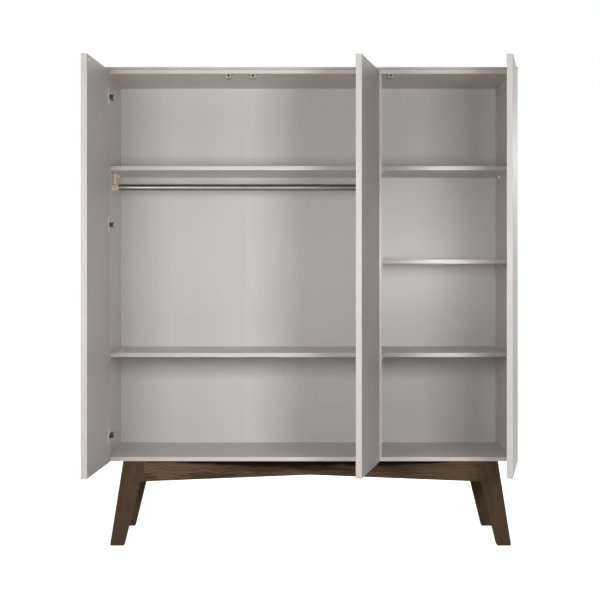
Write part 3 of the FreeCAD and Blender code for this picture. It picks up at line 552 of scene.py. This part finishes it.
def softened(node, radius, along=None, least=0.02, segments=3):
    """A copy of a CAD node with its long edges rounded, in place of the node."""
    shape = merged(node)
    bmesh.ops.dissolve_limit(
        shape, angle_limit=FLAT_ANGLE, verts=shape.verts, edges=shape.edges
    )
    weight = shape.edges.layers.float.new("bevel_weight_edge")
    for edge in shape.edges:
        turn = edge.calc_face_angle(0)
        if edge.is_manifold and turn > ROUNDED_ANGLE and edge.calc_length() > least:
            edge[weight] = 1.0
        else:
            edge.smooth = turn < CREASE_ANGLE
    for face in shape.faces:
        face.smooth = True
    mesh = bpy.data.meshes.new(f"{node}_piece")
    shape.to_mesh(mesh)
    shape.free()
    piece = plain_object(f"{node}_piece", mesh)
    bevel = piece.modifiers.new("Rounding", "BEVEL")
    bevel.limit_method = "WEIGHT"
    bevel.width = radius
    bevel.segments = segments
    bevel.use_clamp_overlap = True
    bevel.material = 1
    mesh.materials.append(finish_for(SLOT_OF[node], along))
    mesh.materials.append(finish_for(SLOT_OF[node], along))
    weighted = piece.modifiers.new("Even shading", "WEIGHTED_NORMAL")
    weighted.keep_sharp = True
    weighted.mode = "FACE_AREA"
    baked(piece)
    note_faces(piece.data)
    settle(piece, node)


def note_faces(mesh):
    """Writes which faces the bevel made and which lie in a wide plane, and joins the slots."""
    made = np.zeros(len(mesh.polygons), np.int32)
    mesh.polygons.foreach_get("material_index", made)
    planes = [
        (*(round(part, 2) for part in face.normal), round(face.normal.dot(face.center), 4))
        for face in mesh.polygons
    ]
    area = {}
    for face, plane in zip(mesh.polygons, planes):
        area[plane] = area.get(plane, 0.0) + face.area
    broad = np.array([area[plane] > WIDE_AREA for plane in planes])
    for name, values in (("rounding", made), ("broad", broad)):
        attribute = mesh.attributes.new(name, "FLOAT", "FACE")
        attribute.data.foreach_set("value", values.astype(np.float32))
    mesh.polygons.foreach_set("material_index", np.zeros_like(made))
    mesh.materials.pop()


def dress(node, along=None):
    """Gives a CAD node that stays the finish of its slot."""
    kept = frame["nodes"][node]
    material = finish_for(SLOT_OF[node], along)
    for slot in kept.material_slots:
        slot.material = material


# Turned fittings, grown by geometry nodes

def islands(node):
    """The corner points of each separate solid of a node."""
    shape = merged(node)
    shape.verts.ensure_lookup_table()
    seen, found = set(), []
    for start in shape.verts:
        if start in seen:
            continue
        seen.add(start)
        stack, island = [start], []
        while stack:
            vert = stack.pop()
            island.append(tuple(vert.co))
            for edge in vert.link_edges:
                other = edge.other_vert(vert)
                if other not in seen:
                    seen.add(other)
                    stack.append(other)
        found.append(np.array(island))
    shape.free()
    return found


def box_middle(points):
    return (points.min(0) + points.max(0)) / 2


def facing(body):
    """Where the front of a hinged body points at rest, and None for a body that stays."""
    hinges = [joint for joint in frame["joints"] if joint["child"] == body]
    if not hinges:
        return None
    opened = math.radians(-hinges[0]["range_deg"][0]) * hinges[0]["axis"][2]
    return Matrix.Rotation(opened, 3, "Z") @ Vector((0, -1, 0))


class ScrewSpot:
    """Where a screw sits: the middle of its head's face, its direction and its sizes."""

    def __init__(self, points, axis):
        along = Vector(axis)
        side = along.orthogonal().normalized()
        frame_of_screw = np.array((along, side, along.cross(side)))
        turned = points @ frame_of_screw.T
        middle = box_middle(turned)
        offset = turned - middle
        radii = np.hypot(offset[:, 1], offset[:, 2])
        half = float(offset[:, 0].max())
        first = radii[offset[:, 0] < -END_SHARE * half].max()
        last = radii[offset[:, 0] > END_SHARE * half].max()
        self.direction = along if first >= last else -along
        self.head_radius = float(max(first, last))
        self.shank_radius = float(min(first, last))
        self.length = half * 2
        self.start = Vector(middle @ frame_of_screw) - self.direction * half


def screw_spots(node):
    """The screws of a node, square to its door or else along their longest side."""
    spots = []
    front = facing(BODY_OF[node])
    for points in islands(node):
        if front:
            axis = tuple(front)
        else:
            size = points.max(0) - points.min(0)
            axis = tuple(float(k == int(np.argmax(size))) for k in range(3))
        spots.append(ScrewSpot(points, axis))
    return spots


class Recipe(Builder):
    """A geometry tree with named inputs, which ends realized and with its material set."""

    def __init__(self, name, inputs):
        super().__init__(bpy.data.node_groups.new(name, "GeometryNodeTree"))
        face = self.tree.interface
        face.new_socket("Geometry", in_out="INPUT", socket_type="NodeSocketGeometry")
        face.new_socket("Geometry", in_out="OUTPUT", socket_type="NodeSocketGeometry")
        self.sockets = {}
        for label, (kind, default) in inputs.items():
            socket = face.new_socket(label, in_out="INPUT", socket_type=f"NodeSocket{kind}")
            if default is not None:
                socket.default_value = default
            self.sockets[label] = socket.identifier
        self.entry = self.tree.nodes.new("NodeGroupInput")

    def given(self, label):
        return Signal(self, self.entry.outputs[label])

    def end(self, geometry):
        realized = self.node("GeometryNodeRealizeInstances", None, [geometry])
        values = {"Geometry": realized, "Material": self.given("Material")}
        finished = self.node("GeometryNodeSetMaterial", None, values)
        self.node("NodeGroupOutput", None, [finished])
        return self

    def on_points(self, instance):
        """One instance on each point of the modified mesh, turned by its turn attribute."""
        turn = self.node(
            "GeometryNodeInputNamedAttribute", {"data_type": "FLOAT_VECTOR"}, {"Name": "turn"}
        )
        values = {
            "Points": self.given("Geometry"), "Instance": instance,
            "Rotation": self.node("FunctionNodeEulerToRotation", None, [turn]),
        }
        return self.node("GeometryNodeInstanceOnPoints", None, values)

    def lathe(self, length, radius_rule, rings):
        """A closed round body along +Z, whose radius is a rule of the distance from its start."""
        end = self.node("ShaderNodeCombineXYZ", None, {"Z": length})
        line = self.node("GeometryNodeCurvePrimitiveLine", None, {"End": end})
        values = {"Curve": line, "Count": rings}
        dots = self.node("GeometryNodeResampleCurve", None, values)
        spot = self.node("GeometryNodeInputPosition")
        height = self.node("ShaderNodeSeparateXYZ", None, [spot], out="Z")
        values = {"Resolution": self.given("Sides"), "Radius": 1.0}
        ring = self.node("GeometryNodeCurvePrimitiveCircle", None, values)
        values = {
            "Curve": dots, "Profile Curve": ring, "Scale": radius_rule(height), "Fill Caps": True
        }
        return self.node("GeometryNodeCurveToMesh", None, values)

    def bar(self, size, middle):
        """A box of one size about one middle."""
        cube = self.node("GeometryNodeMeshCube", None, {"Size": size})
        return self.node(
            "GeometryNodeTransform", None, {"Geometry": cube, "Translation": middle}
        )

    def carved(self, body, tools):
        """The body less each tool in turn, because tools that cross empty it when cut at once."""
        settings = {"operation": "DIFFERENCE", "solver": "EXACT"}
        for tool in tools:
            values = {"Mesh 1": body, "Mesh 2": tool}
            body = self.node("GeometryNodeMeshBoolean", settings, values)
        return body


def screw_recipe():
    """A countersunk screw with a cross recess, on every point."""
    recipe = Recipe("cross_head_screw", {
        "Head Radius": ("Float", 0.0035),
        "Head Height": ("Float", 0.0018),
        "Shank Radius": ("Float", 0.00175),
        "Length": ("Float", 0.015),
        "Recess Width": ("Float", 0.0009),
        "Recess Reach": ("Float", 0.0021),
        "Recess Depth": ("Float", 0.0009),
        "Sides": ("Int", 20),
        "Material": ("Material", None),
    })
    head, rise = recipe.given("Head Radius"), recipe.given("Head Height")
    shank, length = recipe.given("Shank Radius"), recipe.given("Length")

    def radius(height):
        """The head's cone runs into the shank, and the shank into a blunt point."""
        cone = head - (head - shank) * (height / rise).smaller(1.0)
        point = (length - height) * 0.9 + shank * 0.15
        return cone.larger(shank).smaller(point.larger(cone * 0.15))

    body = recipe.lathe(length, radius, SCREW_RINGS)
    reach, width = recipe.given("Recess Reach") * 2.0, recipe.given("Recess Width")
    deep = recipe.given("Recess Depth") * 2.0
    bars = [
        recipe.bar(recipe.node("ShaderNodeCombineXYZ", None, size), (0, 0, 0))
        for size in ([reach, width, deep], [width, reach, deep])
    ]
    return recipe.end(recipe.on_points(recipe.carved(body, bars)))


def pin_recipe():
    """A shelf pin: a peg, and a head that is flat where the shelf rests."""
    recipe = Recipe("shelf_pin", {
        "Peg Radius": ("Float", 0.0025),
        "Peg Length": ("Float", 0.0075),
        "Head Radius": ("Float", 0.0045),
        "Head Length": ("Float", 0.007),
        "Flat Height": ("Float", PIN_FLAT),
        "Rounding": ("Float", 0.0008),
        "Sides": ("Int", 24),
        "Material": ("Material", None),
    })
    peg, deep = recipe.given("Peg Radius"), recipe.given("Peg Length")
    head, proud = recipe.given("Head Radius"), recipe.given("Head Length")
    rounding = recipe.given("Rounding")
    length = deep + proud

    def radius(height):
        """The peg, then the wider head, each with one rounded end."""
        start = (height / rounding).smaller(1.0) * 0.3 + 0.7
        stop = ((length - height) / rounding).smaller(1.0) * 0.25 + 0.75
        in_bay = height.above(deep - STEP_TOLERANCE)
        return (peg + (head - peg) * in_bay) * start.smaller(stop)

    turned = recipe.lathe(length, radius, PIN_RINGS)
    back = recipe.node("ShaderNodeCombineXYZ", None, {"Z": deep * -1.0})
    seated = recipe.node("GeometryNodeTransform", None, {"Geometry": turned, "Translation": back})
    lift = recipe.given("Flat Height") + PIN_WASTE[1] / 2
    waste = recipe.bar(PIN_WASTE, recipe.node("ShaderNodeCombineXYZ", None, {"Y": lift}))
    return recipe.end(recipe.on_points(recipe.carved(seated, [waste])))


def grown(name, recipe, spots, turns, values):
    """A plain mesh of one recipe on many points."""
    mesh = bpy.data.meshes.new(name)
    mesh.from_pydata([tuple(spot) for spot in spots], [], [])
    turn = mesh.attributes.new("turn", "FLOAT_VECTOR", "POINT")
    turn.data.foreach_set("vector", [part for euler in turns for part in euler])
    piece = plain_object(name, mesh)
    modifier = piece.modifiers.new("Growth", "NODES")
    modifier.node_group = recipe.tree
    for label, value in values.items():
        modifier[recipe.sockets[label]] = value
    baked(piece)
    piece.data.shade_smooth()
    piece.data.set_sharp_from_angle(angle=TURNED_CREASE_ANGLE)
    return piece


def aimed(direction):
    """The turn that takes +Z to a direction."""
    return tuple(direction.to_track_quat("Z", "Y").to_euler())


def screws(recipe, node):
    """All screws of a node, in one mesh for each of their sizes."""
    kinds = {}
    for spot in screw_spots(node):
        key = (round(spot.head_radius, 5), round(spot.shank_radius, 5), round(spot.length, 4))
        kinds.setdefault(key, []).append(spot)
    for number, ((head, shank, length), members) in enumerate(sorted(kinds.items())):
        values = {
            "Head Radius": head,
            "Head Height": min(head * HEAD_HEIGHT_SHARE, length / 2),
            "Shank Radius": shank,
            "Length": length,
            **{label: head * share for label, share in RECESS_SHARES.items()},
            "Sides": bpy.context.scene.wardrobe_fittings.sides,
            "Material": finish_for(SLOT_OF[node]),
        }
        starts = [spot.start for spot in members]
        turns = [aimed(spot.direction) for spot in members]
        settle(grown(f"{node}_piece_{number + 1}", recipe, starts, turns, values), node)


# Operators

class Maker:
    """What the operators share."""

    bl_options = {"REGISTER", "UNDO"}

    def execute(self, context):
        self.make(context.scene)
        return {"FINISHED"}


class WARDROBE_OT_doors(Maker, bpy.types.Operator):
    """Makes the three doors with their rounded edges"""

    bl_idname = "wardrobe.doors"
    bl_label = "Doors"

    def make(self, scene):
        for side in SIDES:
            softened(f"door_{side}", scene.wardrobe_boards.door_rounding)


class WARDROBE_OT_carcass(Maker, bpy.types.Operator):
    """Makes the sides, divider, top, floor and cap"""

    bl_idname = "wardrobe.carcass"
    bl_label = "Carcass"

    def make(self, scene):
        radius = scene.wardrobe_boards.board_rounding
        for node in ("side_panel_left", "side_panel_right", "divider_panel",
                     "top_panel", "bottom_panel", "top_cap"):
            softened(node, radius, least=0.05)


class WARDROBE_OT_back(Maker, bpy.types.Operator):
    """Dresses the back sheets and the strip that joins two of them"""

    bl_idname = "wardrobe.back"
    bl_label = "Back"

    def make(self, scene):
        for node in ("back_sheet_left", "back_sheet_middle", "back_sheet_right"):
            dress(node)
        softened("back_joint_strip", scene.wardrobe_boards.strip_rounding, least=0.05)


class WARDROBE_OT_shelves(Maker, bpy.types.Operator):
    """Makes the shelves and the pins that carry them"""

    bl_idname = "wardrobe.shelves"
    bl_label = "Shelves and pins"

    def make(self, scene):
        for node in sorted(n for n in SLOT_OF if "_shelf_" in n):
            softened(node, scene.wardrobe_boards.board_rounding)
        starts, turns = [], []
        for points in islands("shelf_pins"):
            middle = box_middle(points)
            wide = np.abs(points[:, 1] - middle[1]).max()
            head = points[np.abs(points[:, 1] - middle[1]) > wide * RIM_SHARE]
            outward = 1.0 if head[:, 0].mean() > middle[0] else -1.0
            face = head[:, 0].min() if outward > 0 else head[:, 0].max()
            starts.append((face, middle[1], points[:, 2].max() - PIN_FLAT))
            columns = Matrix(((0, 0, outward), (outward, 0, 0), (0, 1, 0)))
            turns.append(tuple(columns.to_euler()))
        values = {"Material": finish_for("pin_plastic")}
        settle(grown("shelf_pins_piece", pin_recipe(), starts, turns, values), "shelf_pins")


class WARDROBE_OT_base(Maker, bpy.types.Operator):
    """Makes the legs and rails of the stained base, its angles and its glides"""

    bl_idname = "wardrobe.base"
    bl_label = "Timber base"

    def make(self, scene):
        look = scene.wardrobe_timber
        radius = look.rounding
        for row in ("front", "rear"):
            softened(f"{row}_apron", radius, "X", least=0.03)
            for side in ("left", "right"):
                softened(f"leg_{row}_{side}", radius, "leg", least=0.03)
        for side in ("left", "right"):
            softened(f"side_rail_{side}", radius, "Y", least=0.02)
        softened("base_brackets", look.angle_rounding, least=0.008)
        dress("foot_glides")


class WARDROBE_OT_hinges(Maker, bpy.types.Operator):
    """Makes the plates, arms, links and cups of the hinges"""

    bl_idname = "wardrobe.hinges"
    bl_label = "Hinges"

    def make(self, scene):
        radius = scene.wardrobe_fittings.metal_rounding
        softened("hinge_plates", radius, least=0.004, segments=2)
        # Arms and links get the darker nickel: painted shade of the hinge's recess.
        softened("hinge_arms", radius, "arm", least=0.004, segments=2)
        for side in SIDES:
            softened(f"hinge_cups_{side}", radius, least=0.004, segments=2)
            dress(f"hinge_links_{side}", "arm")


class WARDROBE_OT_latches(Maker, bpy.types.Operator):
    """Makes the push latches and the strikes on the doors"""

    bl_idname = "wardrobe.latches"
    bl_label = "Latches"

    def make(self, scene):
        radius = scene.wardrobe_fittings.plastic_rounding
        softened("latch_housings", radius, least=0.004)
        for side in SIDES:
            dress(f"latch_plunger_{side}")
            dress(f"strike_plate_{side}")


class WARDROBE_OT_rail(Maker, bpy.types.Operator):
    """Makes the hanging rail and its two brackets"""

    bl_idname = "wardrobe.rail"
    bl_label = "Hanging rail"

    def make(self, scene):
        radius = scene.wardrobe_fittings.plastic_rounding
        dress("hanging_rail")
        for side in ("left", "right"):
            softened(f"rail_bracket_{side}", radius, least=0.003)


class WARDROBE_OT_fixings(Maker, bpy.types.Operator):
    """Makes all the screws, and dresses the cams, bolts and dowels"""

    bl_idname = "wardrobe.fixings"
    bl_label = "Screws and joints"

    def make(self, scene):
        recipe = screw_recipe()
        for node in ("hinge_screws", "latch_screws", "base_screws", "carcass_screws",
                     "cup_screws_left", "cup_screws_middle", "cup_screws_right"):
            screws(recipe, node)
        for node in ("cam_discs", "cam_bolts", "dowels", "rail_screws"):
            dress(node)


class WARDROBE_OT_stage(Maker, bpy.types.Operator):
    """Makes the floor, the lamps, the world and the camera"""

    bl_idname = "wardrobe.stage"
    bl_label = "Stage"

    def make(self, scene):
        look = scene.wardrobe_stage
        pale_floor()
        white_world(scene, look.ambient)
        middle = (0.0, 0.0, 1.0)
        lamp("lamp_right", (0.95, -3.9, 1.25), middle, 0.6, look.right_power)
        lamp("lamp_left", (-1.15, -3.9, 1.25), middle, 0.6, look.left_power)
        lamp("lamp_near_corner", (-2.2, -4.2, 1.25), middle, 0.65, look.near_power)
        lamp("lamp_far_corner", (-3.2, -3.9, 1.25), middle, 0.65, look.far_power)
        lamp("lamp_top", (0.0, -2.2, 4.4), (0.0, -0.2, 0.4), 3.0, look.top_power)
        lamp("lamp_high", (-0.3, -3.2, 2.8), middle, 1.2, look.high_power)
        lamp("lamp_bay", (0.47, -2.0, 1.1), (0.42, 0.267, 1.1), 0.15, look.bay_power, spread=25)
        lamp("lamp_rear", (0.4, 3.2, 1.0), middle, 1.0, look.rear_power)
        lamp("lamp_side", (1.3, -0.2, 1.5), (0.8, -0.5, 1.3), 0.25, look.side_power)
        lens = bpy.data.cameras.new("camera")
        lens.lens = look.lens
        lens.sensor_width = SENSOR_WIDTH
        lens.shift_x = look.shift_across
        lens.shift_y = look.shift_up
        camera = bpy.data.objects.new("camera", lens)
        camera.location = look.eye
        camera.rotation_euler = (math.radians(90), 0, 0)
        scene.collection.objects.link(camera)
        scene.camera = camera
        scene.view_settings.view_transform = "Standard"


def seen_directly(builder):
    """1 where a ray comes from the eye, a reflection or through glass, and 0 elsewhere."""
    rays = builder.node("ShaderNodeLightPath")
    outputs = rays.socket.node.outputs
    eye, gloss, glass = (
        Signal(builder, outputs[name])
        for name in ("Is Camera Ray", "Is Glossy Ray", "Is Transmission Ray")
    )
    return eye.larger(gloss).larger(glass)


def pale_floor():
    """A wide pale floor that keeps the wardrobe's shadow."""
    shape = bmesh.new()
    bmesh.ops.create_grid(shape, x_segments=8, y_segments=8, size=FLOOR_SIZE)
    mesh = bpy.data.meshes.new("floor")
    shape.to_mesh(mesh)
    shape.free()
    floor = plain_object("floor", mesh)
    finish = Finish("pale_floor")
    shade = finish.node("ShaderNodeBsdfDiffuse", None, {"Color": opaque(linear(236, 236, 235))})
    lift = finish.node("ShaderNodeEmission", None, {"Color": WHITE, "Strength": FLOOR_GLOW})
    near = finish.node("ShaderNodeAddShader", None, [shade, lift])
    white = finish.node("ShaderNodeEmission", None, {"Color": WHITE, "Strength": 1.0})
    span = finish.node("ShaderNodeVectorMath", {"operation": "LENGTH"}, [finish.place], "Value")
    away = span.between(FLOOR_NEAR, FLOOR_FAR)
    lit = finish.node("ShaderNodeMixShader", None, [away, near, white])
    mixed = finish.node("ShaderNodeMixShader", None, [seen_directly(finish), shade, lit])
    finish.node("ShaderNodeOutputMaterial", None, [mixed])
    mesh.materials.append(finish.material)


def white_world(scene, ambient):
    """White where it is seen, and an even light elsewhere."""
    world = bpy.data.worlds.new("studio")
    world.use_nodes = True
    world.node_tree.nodes.clear()
    builder = Builder(world.node_tree)
    strength = ambient + (1.0 - ambient) * seen_directly(builder)
    values = {"Color": WHITE, "Strength": strength}
    glow = builder.node("ShaderNodeBackground", None, values)
    builder.node("ShaderNodeOutputWorld", None, [glow])
    scene.world = world


def lamp(name, place, target, size, power, spread=180):
    """A soft square lamp that points at a target; a small spread makes it a beam."""
    light = bpy.data.lights.new(name, "AREA")
    light.shape = "SQUARE"
    light.size = size
    light.energy = power
    light.spread = math.radians(spread)
    holder = bpy.data.objects.new(name, light)
    holder.location = place
    aim = Vector(target) - Vector(place)
    holder.rotation_euler = aim.to_track_quat("-Z", "Y").to_euler()
    holder.visible_camera = False
    bpy.context.scene.collection.objects.link(holder)


# Panel and registration

STEPS = (
    WARDROBE_OT_carcass, WARDROBE_OT_back, WARDROBE_OT_shelves, WARDROBE_OT_doors,
    WARDROBE_OT_base, WARDROBE_OT_hinges, WARDROBE_OT_latches, WARDROBE_OT_rail,
    WARDROBE_OT_fixings, WARDROBE_OT_stage,
)
GROUPS = {
    "wardrobe_boards": BoardSettings,
    "wardrobe_timber": TimberSettings,
    "wardrobe_fittings": FittingSettings,
    "wardrobe_stage": StageSettings,
}


class WARDROBE_PT_sidebar(bpy.types.Panel):
    """Lists the wardrobe's settings and steps."""

    bl_label = "Wardrobe"
    bl_idname = "WARDROBE_PT_sidebar"
    bl_space_type = "VIEW_3D"
    bl_region_type = "UI"
    bl_category = "Wardrobe"

    def draw(self, context):
        for name in GROUPS:
            group = getattr(context.scene, name)
            box = self.layout.box()
            for setting in group.bl_rna.properties:
                if not setting.is_readonly and setting.identifier != "name":
                    box.prop(group, setting.identifier)
        for step in STEPS:
            self.layout.operator(step.bl_idname)


def register():
    for group in GROUPS.values():
        bpy.utils.register_class(group)
    for step in STEPS:
        bpy.utils.register_class(step)
    bpy.utils.register_class(WARDROBE_PT_sidebar)
    for name, group in GROUPS.items():
        setattr(bpy.types.Scene, name, PointerProperty(type=group))


def unregister():
    for name in GROUPS:
        delattr(bpy.types.Scene, name)
    bpy.utils.unregister_class(WARDROBE_PT_sidebar)
    for step in reversed(STEPS):
        bpy.utils.unregister_class(step)
    for group in reversed(list(GROUPS.values())):
        bpy.utils.unregister_class(group)


def main():
    register()
    for step in STEPS:
        family, name = step.bl_idname.split(".")
        getattr(getattr(bpy.ops, family), name)()


if __name__ == "__main__":
    main()
